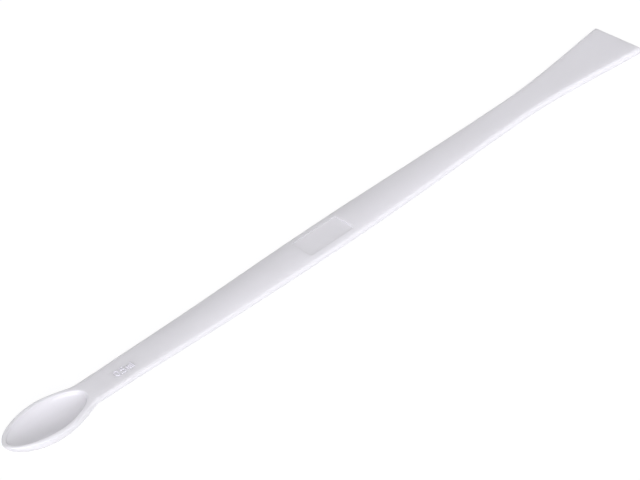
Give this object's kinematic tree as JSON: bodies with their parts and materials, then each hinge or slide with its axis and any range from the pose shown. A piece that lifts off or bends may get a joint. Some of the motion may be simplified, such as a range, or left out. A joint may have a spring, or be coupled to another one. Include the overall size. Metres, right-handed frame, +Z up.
{
  "type": "laboratory spatula",
  "caption": "Lab spatula moulded in white plastic: a small deep oval spoon at one end, a long crowned handle with a bare recessed panel, and a flared flat blade at the other end.",
  "frame": {"origin": "centre of the bounding box's lower face, at the level of the bench that it lies on", "axes": "+X along the spatula from the spoon to the blade, +Y across it, +Z up out of the spoon's open side"},
  "size_m": [0.18, 0.013, 0.0039],
  "materials": {
    "moulded_polystyrene": "semi-gloss"
  },
  "bodies": {
    "root": {"spatula": "moulded_polystyrene"}
  },
  "joints": []
}
